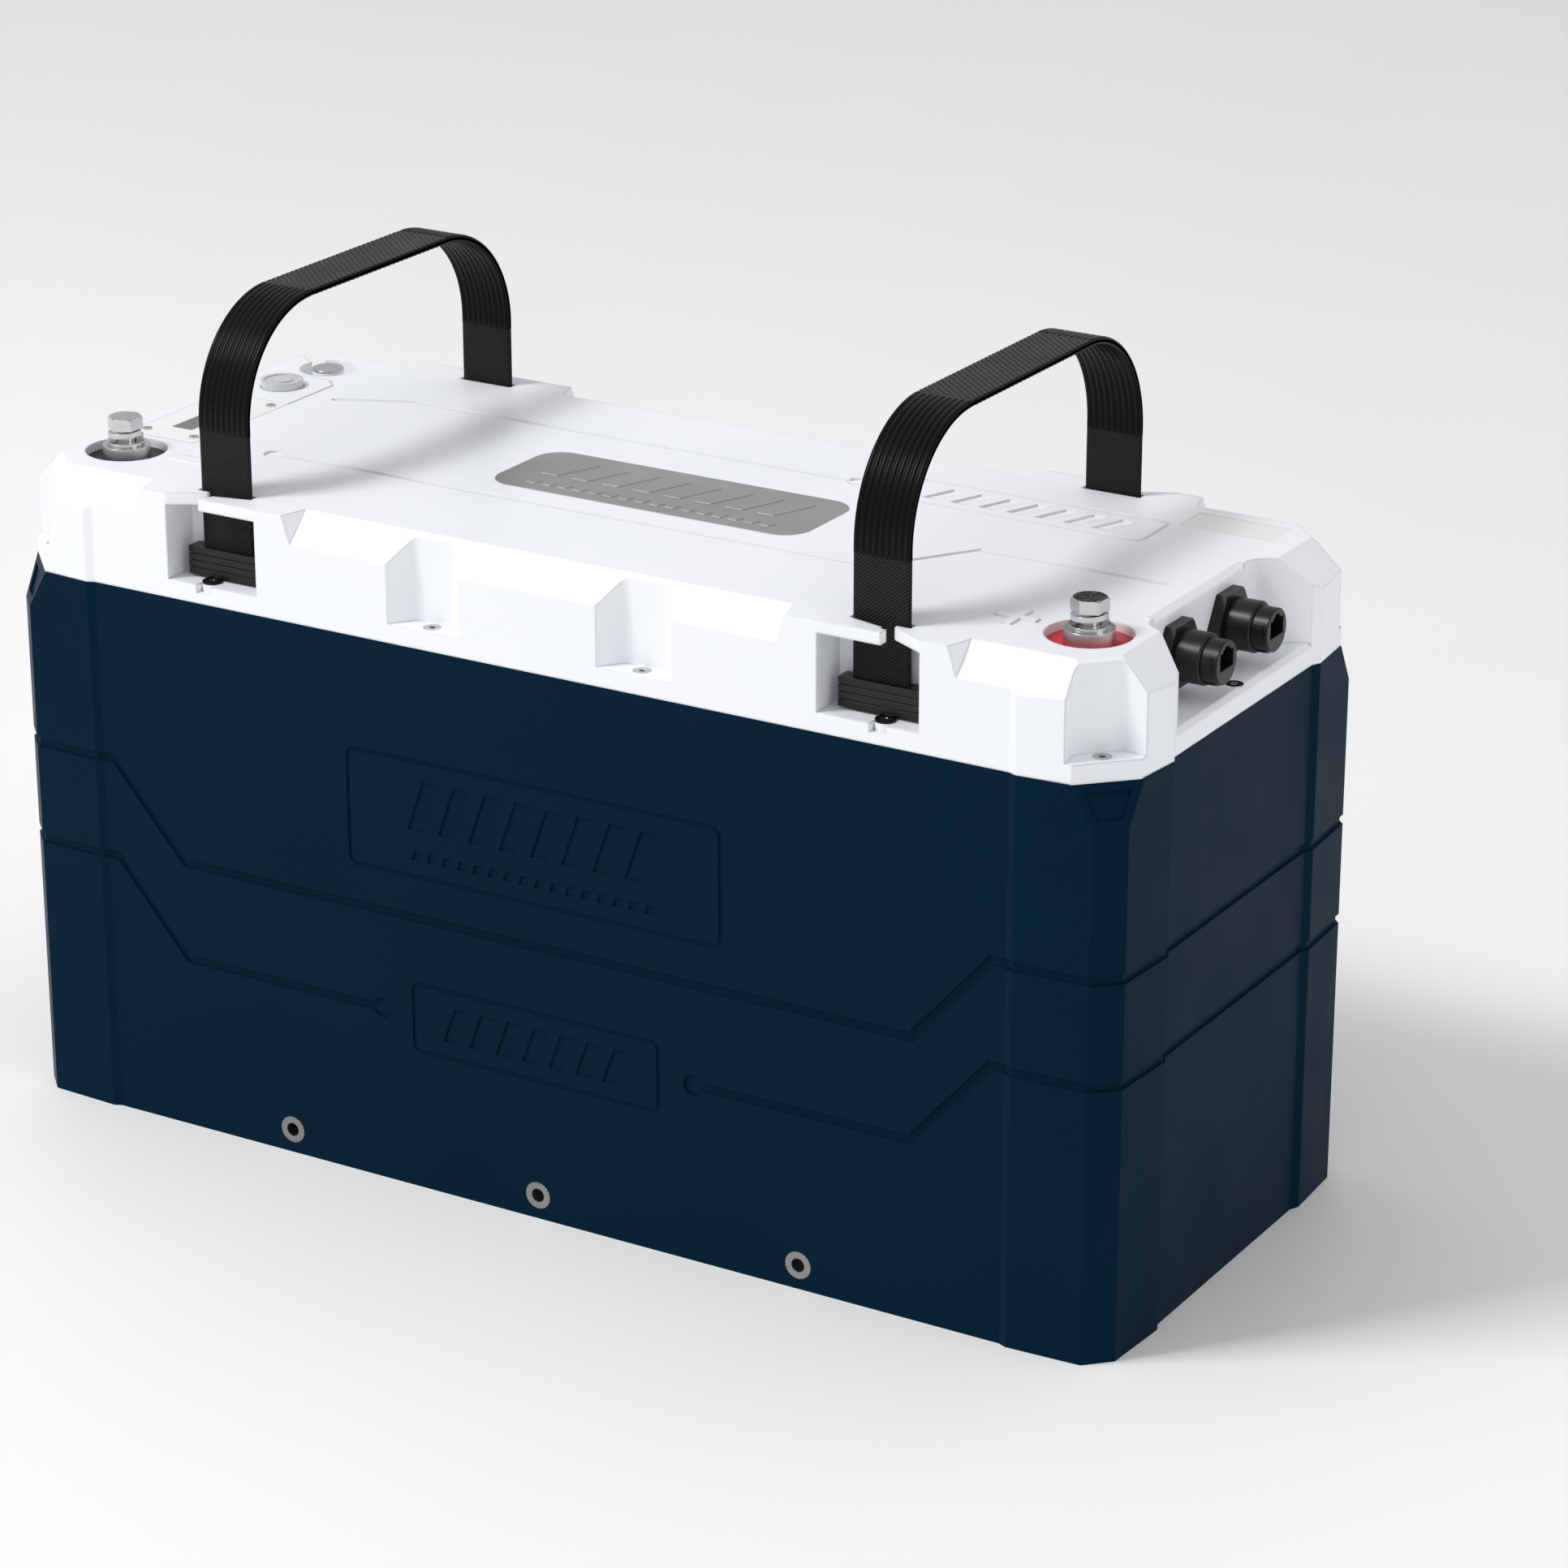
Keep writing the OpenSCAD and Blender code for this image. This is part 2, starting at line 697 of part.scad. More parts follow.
module power_button() {
    color([0.85, 0.86, 0.87, 0.7]) translate([button_spot.x, button_spot.y, 0]) {
        difference() {
            translate([0, 0, lid_top - 4]) cylinder(h = button_top - lid_top + 4, r = button_r);
            translate([0, 0, button_top - 0.4]) difference() {
                cylinder(h = 1, r = button_r - 1.6);
                translate([0, 0, -1]) cylinder(h = 3, r = button_r - 4.6);
            }
        }
        translate([0, 0, spring_z + button_travel + 0.5]) cylinder(h = lid_top - 4 - spring_z - button_travel, r = 3);
    }
}

// Coil spring under the button, drawn as turns stacked on each other
module button_spring() {
    color([0.75, 0.75, 0.75]) translate([button_spot.x, button_spot.y, spring_z]) difference() {
        cylinder(h = 7, r = 4.6);
        translate([0, 0, -1]) cylinder(h = 9, r = 3.6);
        for (i = [0 : 3]) translate([0, 0, 0.9 + i * 1.6]) difference() {
            cylinder(h = 0.6, r = 6);
            translate([0, 0, -1]) cylinder(h = 3, r = 4.1);
        }
    }
}

module switch_board() {
    color([0.1, 0.35, 0.2]) translate([button_spot.x, button_spot.y, spring_z - 1.6]) {
        translate([-12, -12, 0]) cube([24, 24, 1.6]);
        translate([0, 0, 1.6 - eps]) cylinder(h = 0.4, r = 3);
    }
}

// ---- terminals ---------------------------------------------------------------

post_top = lid_top + 2.6;
post_foot = lid_top - 26;
bolt_r = 4;
washer_t = 1.6;
spring_washer_h = 5.2;
bolt_head_z = post_top + washer_t + spring_washer_h;
bolt_head_h = 5.3;
bolt_flats = 13;

module at_terminal(s) {
    translate([s * terminal_x, -terminal_y, 0]) children();
}

// Coloured insulating cup round a post
module well(s, shade) {
    color(shade) at_terminal(s) difference() {
        union() {
            translate([0, 0, plate_z - 10]) cylinder(h = well_floor - plate_z + 10, r = well_r - 0.1);
            translate([0, 0, plate_z - 13]) cylinder(h = 3, r = well_r + wall);
        }
        translate([0, 0, plate_z - 20]) cylinder(h = 40, r = post_d / 2 + 0.1);
    }
}

module post(s) {
    color([0.75, 0.75, 0.76]) at_terminal(s) difference() {
        union() {
            translate([0, 0, post_foot]) cylinder(h = post_top - post_foot, r = post_d / 2);
            translate([0, 0, post_foot]) cylinder(h = 5, r = post_d / 2 + 5);
        }
        translate([0, 0, post_top - 18]) cylinder(h = 30, r = bolt_r);
    }
}

module terminal_bolts() {
    color([0.8, 0.8, 0.81]) for (s = [-1, 1]) at_terminal(s) {
        translate([0, 0, post_top - 14]) cylinder(h = bolt_head_z - post_top + 14 + eps, r = bolt_r - 0.05);
        translate([0, 0, bolt_head_z]) intersection() {
            rotate([0, 0, 25]) cylinder(h = bolt_head_h, r = bolt_flats / sqrt(3), $fn = 6);
            cylinder(h = bolt_head_h, r1 = bolt_flats, r2 = bolt_flats / 2 + 0.2);
        }
    }
}

// Split ring that climbs by one thickness in its single turn
module spring_washers() {
    rise = spring_washer_h - 2.2;
    steps = 36;
    gap_deg = 16;
    inner = 4.3;
    outer = 7.4;
    high = 2.2;
    ring = [
        for (i = [0 : steps]) let (a = 20 + gap_deg / 2 + i * (360 - gap_deg) / steps, z = rise * i / steps)
            each [
                [inner * cos(a), inner * sin(a), z], [outer * cos(a), outer * sin(a), z],
                [outer * cos(a), outer * sin(a), z + high], [inner * cos(a), inner * sin(a), z + high]
            ]
    ];
    faces = concat(
        [[0, 1, 2, 3]],
        [for (i = [0 : steps - 1], k = [0 : 3])
            [4 * i + k, 4 * i + 4 + k, 4 * i + 4 + (k + 1) % 4, 4 * i + (k + 1) % 4]],
        [[4 * steps + 3, 4 * steps + 2, 4 * steps + 1, 4 * steps]]
    );
    color([0.8, 0.8, 0.81]) for (s = [-1, 1]) at_terminal(s)
        translate([0, 0, post_top + washer_t]) polyhedron(ring, faces, convexity = 4);
}

module flat_washers() {
    color([0.8, 0.8, 0.81]) for (s = [-1, 1]) at_terminal(s)
        translate([0, 0, post_top]) difference() {
            cylinder(h = washer_t, r = 8);
            translate([0, 0, -1]) cylinder(h = 4, r = 4.2);
        }
}

// ---- vent --------------------------------------------------------------------

vent_r = 7;
vent_top = lid_top + 0.6;

module vent_plug() {
    color([0.9, 0.91, 0.94]) translate([vent_spot.x, vent_spot.y, 0]) difference() {
        union() {
            translate([0, 0, vent_floor]) cylinder(h = vent_top - 1.2 - vent_floor, r = vent_r);
            translate([0, 0, vent_floor - 8]) cylinder(h = 9, r = 4.9);
        }
        translate([0, 0, vent_floor - 9]) cylinder(h = 14, r = 2.5);
    }
}

module vent_cap() {
    color([0.6, 0.6, 0.6]) translate([vent_spot.x, vent_spot.y, vent_top - 1.2]) {
        cylinder(h = 0.8, r = vent_r);
        translate([0, 0, 0.8]) cylinder(h = 0.4, r1 = vent_r, r2 = vent_r - 0.4);
    }
}

// ---- network ports -----------------------------------------------------------

port_z = case_h + 26.5;
port_thread_r = 9.5;
port_nut_t = 5;
port_nut_r = 14.7;
barrel_r = 10.4;
face_r = 8.9;
jack_w = 11.4;
jack_low = -2.4;                  // bottom of the plug opening below the port's axis

module at_ports() {
    for (y = [-1, 1]) translate([recess_x, y * port_y, port_z]) rotate([90, 0, 90]) children();
}

// Outline of the plug opening, with the stepped slot for its latch on top
module jack_opening() {
    translate([-jack_w / 2, jack_low]) square([jack_w, 7.1]);
    translate([-3.2, 0]) square([6.4, 5.8]);
    translate([-1.7, 0]) square([3.4, 6.9]);
}

barrel_l = 11;
face_l = hl - recess_x;           // from the wall to the port's front face

module port_bodies() {
    chamfer = 0.7;
    color([0.1, 0.1, 0.1]) at_ports() difference() {
        union() {
            translate([0, 0, -14]) cylinder(h = 14 + port_nut_t, r = port_thread_r - 0.1);
            translate([0, 0, port_nut_t]) cylinder(h = barrel_l - chamfer, r = barrel_r);
            translate([0, 0, port_nut_t + barrel_l - chamfer]) cylinder(h = chamfer, r1 = barrel_r, r2 = barrel_r - chamfer);
            translate([0, 0, -3]) cylinder(h = face_l + 3 - 0.4, r = face_r);
            translate([0, 0, face_l - 0.4]) cylinder(h = 0.4, r1 = face_r, r2 = face_r - 0.4);
            for (a = [182, 270, 358]) rotate([0, 0, a]) bayonet_block();
        }
        translate([0, 0, face_l - 12]) linear_extrude(20) jack_opening();
    }
}

// Raised block on the neck that a plug's cover locks behind
module bayonet_block() {
    sweep = 58;
    rotate([0, 0, -sweep / 2]) rotate_extrude(angle = sweep)
        translate([face_r - 1, port_nut_t + barrel_l + 0.6]) square([1.7, 4]);
}

module port_nuts() {
    color([0.12, 0.12, 0.12]) at_ports() difference() {
        intersection() {
            rotate(0) cylinder(h = port_nut_t, r = port_nut_r, $fn = 6);
            cylinder(h = port_nut_t, r1 = port_nut_r + 6, r2 = port_nut_r - 0.7);
        }
        translate([0, 0, -1]) cylinder(h = port_nut_t + 2, r = port_thread_r);
    }
}

module port_gaskets() {
    color([0.05, 0.05, 0.05]) at_ports() translate([0, 0, -wall - 1.5]) difference() {
        cylinder(h = 1.5, r = port_thread_r + 3);
        translate([0, 0, -1]) cylinder(h = 4, r = port_thread_r);
    }
}

// Contact blocks inside the ports, with eight spring wires each
module port_jacks() {
    color([0.75, 0.62, 0.3]) at_ports() translate([0, 0, face_l - 12]) {
        translate([-4.1, jack_low, 0]) cube([8.2, 1, 0.8]);
        for (i = [0 : 7]) translate([-3.75 + i * 1.02, jack_low, 0]) cube([0.35, 0.6, 6]);
    }
}

// ---- handles -----------------------------------------------------------------

handle_top = lid_top + handle_h;
bend_z = handle_top - handle_r;
grip_from = lid_top + 26;
anchor_w = 36;
anchor_t = 7;
anchor_h = 12;
anchor_z = strap_floor + 1.2;

// Filled shape under the arch, grown by g from the webbing's middle line
module arch_shape(g) {
    mid_r = handle_r - web_t / 2;
    flat = leg_y - mid_r;
    translate([-leg_y - g, bend_z - 2 * handle_r]) square([2 * (leg_y + g), 2 * handle_r]);
    translate([-flat, bend_z - 2 * handle_r]) square([2 * flat, 2 * handle_r + mid_r + g]);
    for (s = [-1, 1]) translate([s * flat, bend_z]) circle(mid_r + g, $fn = 96);
}

// Arch of thickness t about the webbing's middle line, with legs down to z
module arch(t, z) {
    intersection() {
        difference() {
            arch_shape(t / 2);
            arch_shape(-t / 2);
        }
        translate([-hw, z]) square([case_w, lid_top]);
    }
}

module across(width) {
    rotate([90, 0, 90]) linear_extrude(width, center = true) children();
}

module webbing(s) {
    color([0.08, 0.08, 0.08]) translate([s * handle_x, 0, 0])
        across(web_w) arch(web_t, anchor_z + 5);
}

rib_count = 9;
rib_pitch = 2.7;

// Moulded sleeve round the webbing, ribbed along its length
module grip(s) {
    color([0.1, 0.1, 0.1]) translate([s * handle_x, 0, 0]) difference() {
        union() {
            across(web_w + 0.6) arch(web_t + 1.2, grip_from);
            for (i = [0 : rib_count - 1]) translate([(i - (rib_count - 1) / 2) * rib_pitch, 0, 0])
                across(1.5) arch(web_t + 2, grip_from + 0.5);
        }
        across(web_w) arch(web_t, grip_from - 1);
    }
}

// Ribbed block that keeps a webbing end in its pocket
module anchor(s, side) {
    color([0.09, 0.09, 0.09])
        translate([s * (handle_x + 0.5), side * leg_y, anchor_z]) difference() {
            translate([-anchor_w / 2, -anchor_t / 2, 0]) cube([anchor_w, anchor_t, anchor_h]);
            for (i = [1 : 3]) translate([0, 0, i * anchor_h / 4]) difference() {
                cube([anchor_w + 2, anchor_t + 2, 0.6], center = true);
                cube([anchor_w - 1, anchor_t - 1, 2], center = true);
            }
            translate([-s * 0.5, 0, 5 + anchor_h / 2]) cube([web_w, web_t, anchor_h], center = true);
        }
}

// ---- pack inside ---------------------------------------------------------------

pack_x0 = -160;                   // face of the first end plate
plate_t = 5;
spacer_t = 1;
cell_pitch = cell_t + spacer_t;
pack_l = cells_per_layer * cell_pitch + spacer_t;
layer_gap = 5;
pad_t = 4;
cell_z = [wall + 1 + pad_t, wall + 1 + pad_t + cell_h + layer_gap];

function cell_x(i) = pack_x0 + plate_t + spacer_t + cell_t / 2 + i * cell_pitch;

module cells(z, shade) {
    color(shade) for (i = [0 : cells_per_layer - 1]) translate([cell_x(i), 0, z]) {
        translate([-cell_t / 2, -cell_w / 2, 0]) cube([cell_t, cell_w, cell_h - 3]);
        for (y = [-1, 1]) translate([0, y * cell_w / 4, cell_h - 3 - eps]) cylinder(h = 3 + eps, r = 8);
        translate([-4, -8, cell_h - 3 - eps]) cube([8, 16, 1]);
    }
}

module cell_spacers() {
    color([0.85, 0.8, 0.6]) for (z = cell_z, i = [0 : cells_per_layer])
        translate([pack_x0 + plate_t + i * cell_pitch, -cell_w / 2, z]) cube([spacer_t, cell_w, cell_h - 4]);
}

module end_plates() {
    color([0.7, 0.71, 0.72]) for (z = cell_z, x = [pack_x0, pack_x0 + plate_t + pack_l])
        translate([x, -cell_w / 2, z]) difference() {
            cube([plate_t, cell_w, cell_h - 4]);
            for (y = [0.25, 0.75]) translate([-1, y * cell_w, (cell_h - 4) / 2]) rotate([0, 90, 0])
                cylinder(h = plate_t + 2, r = 12);
        }
}

band_t = 0.6;

// Steel bands round each layer
module pack_bands() {
    full = pack_l + 2 * plate_t;
    color([0.6, 0.62, 0.65]) for (z = cell_z, f = [0.2, 0.7])
        translate([pack_x0 + full / 2, 0, z + f * cell_h]) difference() {
            cube([full + 2 * band_t, cell_w + 2 * band_t, 14], center = true);
            cube([full, cell_w, 20], center = true);
        }
}

// Links across each pair of neighbouring cells, on alternate sides
module links(layer) {
    color([0.78, 0.45, 0.25]) for (i = [0 : cells_per_layer - 2])
        translate([(cell_x(i) + cell_x(i + 1)) / 2, (i % 2 == layer ? -1 : 1) * cell_w / 4, cell_z[layer] + cell_h])
            linear_extrude(2) rounded_rect(cell_pitch + 18, 20, 6);
}

module layer_tray() {
    color([0.15, 0.15, 0.15]) translate([pack_x0, -cell_w / 2, cell_z[1] - 2])
        cube([pack_l + 2 * plate_t, cell_w, 2]);
}

module base_pad() {
    color([0.2, 0.2, 0.22]) translate([pack_x0, -cell_w / 2, wall + 1])
        cube([pack_l + 2 * plate_t, cell_w, pad_t]);
}

// Heating films on the long sides of each layer
module heater_mats() {
    color([0.75, 0.45, 0.1]) for (z = cell_z, y = [-1, 1])
        translate([pack_x0 + plate_t + 5, y * (cell_w / 2 + 1.2) - 0.4, z + 0.35 * cell_h])
            cube([pack_l - 10, 0.8, 30]);
}

bms_x = -196;
bms_size = [150, 190];            // along Y and Z
bms_z = 30;

module bms_board() {
    color([0.08, 0.3, 0.16]) translate([bms_x, -bms_size.x / 2, bms_z]) {
        cube([2, bms_size.x, bms_size.y]);
        for (y = [20, 55, 90], z = [30, 70]) translate([2, y, z]) cube([10, 18, 24]);
    }
}

module bms_heatsink() {
    color([0.75, 0.76, 0.77]) translate([bms_x - 24, -bms_size.x / 2 + 10, bms_z + 20]) {
        translate([14, 0, 0]) cube([4, bms_size.x - 20, 130]);
        for (i = [0 : 12]) translate([0, i * (bms_size.x - 22) / 12, 0]) cube([14 + eps, 2, 130]);
    }
}

module bms_transistors() {
    color([0.1, 0.1, 0.1]) for (i = [0 : 9], z = [60, 100])
        translate([bms_x - 6, -bms_size.x / 2 + 17 + i * 12, bms_z + z]) cube([6, 9, 15]);
}

lead_r = 6;
lead_z = post_foot - 12;

// Heavy cable from the foot of a terminal post to the place to_x along the battery
module lead(s, to_x) {
    translate([s * terminal_x, -terminal_y, post_foot - 3]) cylinder(h = 3, r = 13);
    translate([s * terminal_x, -terminal_y, lead_z]) cylinder(h = post_foot - 3 - lead_z + eps, r = lead_r);
    translate([min(to_x, s * terminal_x), -terminal_y, lead_z]) rotate([0, 90, 0])
        cylinder(h = abs(to_x - s * terminal_x), r = lead_r);
    translate([s * terminal_x, -terminal_y, lead_z]) sphere(lead_r);
}

// Its far end is a copper lug on the last cell
module positive_lead() {
    to_x = cell_x(cells_per_layer - 1) - 8;
    color([0.75, 0.1, 0.12]) {
        lead(1, to_x);
        translate([to_x - 8, -terminal_y - 8, cell_z[1] + cell_h]) cube([16, terminal_y - cell_w / 4 + 16, 5]);
        translate([to_x - 8, -terminal_y - 8, cell_z[1] + cell_h]) cube([16, 16, 12]);
    }
}

// Its far end is a block on the top edge of the board
module negative_lead() {
    to_x = bms_x + 6;
    color([0.08, 0.08, 0.08]) {
        lead(-1, to_x);
        translate([to_x - 6, -terminal_y - 8, bms_z + bms_size.y]) cube([12, 16, lead_z + lead_r - bms_z - bms_size.y]);
    }
}

// Ribbon of sense wires along the top of each layer
module sense_harness() {
    color([0.9, 0.9, 0.9]) for (z = cell_z) translate([bms_x + 14, -6, z + cell_h + 0.6])
        cube([pack_x0 - bms_x - 20 + pack_l, 12, 1.2]);
}

module port_board() {
    color([0.08, 0.3, 0.16]) translate([recess_x - 20, -36, port_z - 10]) cube([1.6, 72, 20]);
}

case();
lid();
lid_gasket();
lid_screws();
pocket_screws();
pocket_washers();
inserts(-1);  // front_inserts
inserts(1);  // back_inserts
nameplate();
end_label();
control_panel();
panel_screws();
display_window();
display_board();
button_bezel();
power_button();
button_spring();
switch_board();
well(-1, [0.1, 0.1, 0.1]);  // negative_well
well(1, [0.8, 0.1, 0.18]);  // positive_well
post(-1);  // negative_post
post(1);  // positive_post
terminal_bolts();
spring_washers();
flat_washers();
vent_plug();
vent_cap();
port_bodies();
port_nuts();
port_gaskets();
port_jacks();
webbing(-1);  // left_webbing
webbing(1);  // right_webbing
grip(-1);  // left_grip
grip(1);  // right_grip
anchor(-1, -1);  // left_front_anchor
anchor(-1, 1);  // left_back_anchor
anchor(1, -1);  // right_front_anchor
anchor(1, 1);  // right_back_anchor
cells(cell_z[0], [0.2, 0.35, 0.6]);  // lower_cells
cells(cell_z[1], [0.2, 0.35, 0.6]);  // upper_cells
cell_spacers();
end_plates();
pack_bands();
links(0);  // lower_links
links(1);  // upper_links
layer_tray();
base_pad();
heater_mats();
bms_board();
bms_heatsink();
bms_transistors();
positive_lead();
negative_lead();
sense_harness();
port_board();
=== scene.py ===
"""Deep cycle battery: materials, soft goods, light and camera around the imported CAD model."""
import json
from math import cos, pi, radians, sin

import bpy
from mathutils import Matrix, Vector


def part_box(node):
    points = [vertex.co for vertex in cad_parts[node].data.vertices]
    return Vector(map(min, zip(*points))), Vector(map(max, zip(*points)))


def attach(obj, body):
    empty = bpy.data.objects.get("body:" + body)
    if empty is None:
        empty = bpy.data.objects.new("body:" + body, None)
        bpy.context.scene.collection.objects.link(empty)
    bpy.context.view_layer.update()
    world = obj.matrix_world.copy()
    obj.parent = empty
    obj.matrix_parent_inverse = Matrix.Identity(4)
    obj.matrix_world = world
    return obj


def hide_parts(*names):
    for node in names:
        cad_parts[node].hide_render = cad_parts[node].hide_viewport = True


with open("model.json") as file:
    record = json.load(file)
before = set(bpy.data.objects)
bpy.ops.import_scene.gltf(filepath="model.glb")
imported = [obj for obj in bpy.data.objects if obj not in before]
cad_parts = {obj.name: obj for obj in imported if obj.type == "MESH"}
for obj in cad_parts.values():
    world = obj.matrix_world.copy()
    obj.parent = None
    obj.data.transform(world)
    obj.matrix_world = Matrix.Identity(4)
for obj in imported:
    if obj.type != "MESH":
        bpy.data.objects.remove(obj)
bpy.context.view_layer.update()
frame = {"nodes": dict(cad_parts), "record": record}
nodes = frame["nodes"]

MM = 0.001

# ---- camera, light and floor ---------------------------------------------------

# Solved from the box's edges in the photograph
CAMERA_AT = (1.0366, -1.6355, 0.8996)
CAMERA_TILT = radians(69.02)
CAMERA_YAW = radians(30.99)
LENS_MM = 113.4
SENSOR_MM = 36.0
VIEW_END = 20

LIGHTS = {
    "key": dict(at=(-1.5, -1.7, 2.9), size=0.9, power=70),
    "right": dict(at=(2.6, -0.2, 1.2), size=1.4, power=8),
}
LIT_POINT = (0, 0, 0.2)
SKY_TINT = (0.975, 0.985, 1, 1)
SKY_STRENGTH = 0.6
FLOOR_HALF = 6


def add_camera():
    data = bpy.data.cameras.new("camera")
    data.lens = LENS_MM
    data.sensor_width = SENSOR_MM
    data.clip_end = VIEW_END
    camera = bpy.data.objects.new("camera", data)
    camera.location = CAMERA_AT
    camera.rotation_euler = (CAMERA_TILT, 0, CAMERA_YAW)
    bpy.context.scene.collection.objects.link(camera)
    bpy.context.scene.camera = camera


def add_area(name, at, size, power):
    """Square area light that shines at LIT_POINT."""
    data = bpy.data.lights.new(name, "AREA")
    data.shape = "SQUARE"
    data.size = size
    data.energy = power
    light = bpy.data.objects.new(name, data)
    light.location = at
    light.rotation_euler = (Vector(LIT_POINT) - Vector(at)).to_track_quat("-Z", "Y").to_euler()
    bpy.context.scene.collection.objects.link(light)


def add_sky():
    world = bpy.data.worlds.new("studio")
    world.use_nodes = True
    background = world.node_tree.nodes["Background"]
    background.inputs["Color"].default_value = SKY_TINT
    background.inputs["Strength"].default_value = SKY_STRENGTH
    bpy.context.scene.world = world


def add_floor():
    mesh = bpy.data.meshes.new("floor")
    corners = [(x * FLOOR_HALF, y * FLOOR_HALF, 0) for x, y in ((-1, -1), (1, -1), (1, 1), (-1, 1))]
    mesh.from_pydata(corners, [], [(0, 1, 2, 3)])
    floor = bpy.data.objects.new("floor", mesh)
    bpy.context.scene.collection.objects.link(floor)
    floor.data.materials.append(floor_material())


# ---- materials -----------------------------------------------------------------

NOISE_SPAN = (0.3, 0.7)           # nearly all of a noise texture's values lie between these
ACRYLIC_IOR = 1.49
FINER = 0.6                       # pitch of webbing's crossing thread, as a share of its ridges
WAVE_RATE = 20                    # a wave texture turns through this many radians per unit at scale 1


def grey(level):
    return (level, level, level)


class Shader:
    """Small helper that adds nodes to one material and joins them."""

    def __init__(self, name):
        self.material = bpy.data.materials.new(name)
        self.material.use_nodes = True
        self.tree = self.material.node_tree
        self.bsdf = self.tree.nodes["Principled BSDF"]

    def add(self, kind, **settings):
        node = self.tree.nodes.new(kind)
        for key, value in settings.items():
            setattr(node, key, value)
        return node

    def join(self, out, into):
        self.tree.links.new(out, into)

    def noise(self, scale, detail, stretch=None):
        node = self.add("ShaderNodeTexNoise")
        node.inputs["Scale"].default_value = scale
        node.inputs["Detail"].default_value = detail
        where = self.add("ShaderNodeTexCoord").outputs["Object"]
        if stretch:
            mapping = self.add("ShaderNodeMapping")
            mapping.inputs["Scale"].default_value = stretch
            self.join(where, mapping.inputs["Vector"])
            where = mapping.outputs["Vector"]
        self.join(where, node.inputs["Vector"])
        return node.outputs["Fac"]

    def roughness(self, noise, low, high):
        """Roughness that wanders from low to high with the noise."""
        node = self.add("ShaderNodeMapRange")
        node.inputs["From Min"].default_value, node.inputs["From Max"].default_value = NOISE_SPAN
        node.inputs["To Min"].default_value = low
        node.inputs["To Max"].default_value = high
        self.join(noise, node.inputs["Value"])
        self.join(node.outputs["Result"], self.bsdf.inputs["Roughness"])

    def tones(self, fac, dark, light):
        """Base colour that runs from dark to light with fac."""
        node = self.add("ShaderNodeValToRGB")
        for element, colour, position in zip(node.color_ramp.elements, (dark, light), NOISE_SPAN):
            element.color = (*colour, 1)
            element.position = position
        self.join(fac, node.inputs["Fac"])
        self.join(node.outputs["Color"], self.bsdf.inputs["Base Color"])

    def bump(self, height, strength, distance, under=None):
        """Normal of a relief that lies on top of the normal under."""
        node = self.add("ShaderNodeBump")
        node.inputs["Strength"].default_value = strength
        node.inputs["Distance"].default_value = distance
        self.join(height, node.inputs["Height"])
        if under:
            self.join(under, node.inputs["Normal"])
        return node.outputs["Normal"]

    def rounded(self, radius):
        """Normal of a surface whose edges are rounded to this radius."""
        node = self.add("ShaderNodeBevel", samples=4)
        node.inputs["Radius"].default_value = radius
        return node.outputs["Normal"]


def moulded(name, dark, light, rough, grain, edge, specular=0.5, glint=(1, 1, 1)):
    """Moulded plastic: fine grain, faint clouding and softened edges. glint tints its reflections."""
    s = Shader(name)
    s.tones(s.noise(scale=9, detail=3), dark, light)
    s.roughness(s.noise(scale=30, detail=5), low=rough - 0.05, high=rough + 0.05)
    s.bsdf.inputs["Specular IOR Level"].default_value = specular
    s.bsdf.inputs["Specular Tint"].default_value = (*glint, 1)
    grains = s.noise(scale=2600, detail=2)
    surface = s.bump(grains, strength=grain, distance=0.06 * MM, under=s.rounded(edge))
    s.join(surface, s.bsdf.inputs["Normal"])
    return s.material


def metal(name, dark, light, rough, edge, stretch=(1, 1, 1), strength=0.15, metallic=1.0):
    """Plated or brushed metal, with fine scratches drawn out by stretch."""
    s = Shader(name)
    s.tones(s.noise(scale=40, detail=4), dark, light)
    s.bsdf.inputs["Metallic"].default_value = metallic
    scratches = s.noise(scale=900, detail=3, stretch=stretch)
    s.roughness(scratches, low=rough - 0.06, high=rough + 0.08)
    surface = s.bump(scratches, strength, distance=0.03 * MM, under=s.rounded(edge))
    s.join(surface, s.bsdf.inputs["Normal"])
    return s.material


def woven(name, dark, light, pitch, slant, crossing, waver, depth, rough, specular):
    """Twill webbing, drawn along the strip's own lengths.

    Ridges a pitch apart run at the angle slant. A finer thread crosses them, and counts for the
    share crossing.
    """
    s = Shader(name)
    uv = s.add("ShaderNodeUVMap", uv_map="along").outputs["UV"]
    weave = s.add("ShaderNodeMix", data_type="FLOAT")
    weave.inputs["Factor"].default_value = crossing
    for socket, turn, apart in (("A", slant, pitch), ("B", slant - pi / 2, FINER * pitch)):
        mapping = s.add("ShaderNodeMapping", vector_type="TEXTURE")
        mapping.inputs["Rotation"].default_value = (0, 0, turn)
        s.join(uv, mapping.inputs["Vector"])
        wave = s.add("ShaderNodeTexWave", bands_direction="Y")
        wave.inputs["Scale"].default_value = 2 * pi / (WAVE_RATE * apart)
        wave.inputs["Distortion"].default_value = waver
        s.join(mapping.outputs["Vector"], wave.inputs["Vector"])
        s.join(wave.outputs["Fac"], weave.inputs[socket])
    thread = weave.outputs["Result"]
    s.tones(thread, dark, light)
    s.roughness(s.noise(scale=400, detail=4), low=rough - 0.1, high=rough + 0.1)
    s.bsdf.inputs["Specular IOR Level"].default_value = specular
    fuzz = s.bump(s.noise(scale=3000, detail=2), strength=0.3, distance=0.05 * MM)
    surface = s.bump(thread, strength=0.9, distance=depth, under=fuzz)
    s.join(surface, s.bsdf.inputs["Normal"])
    return s.material


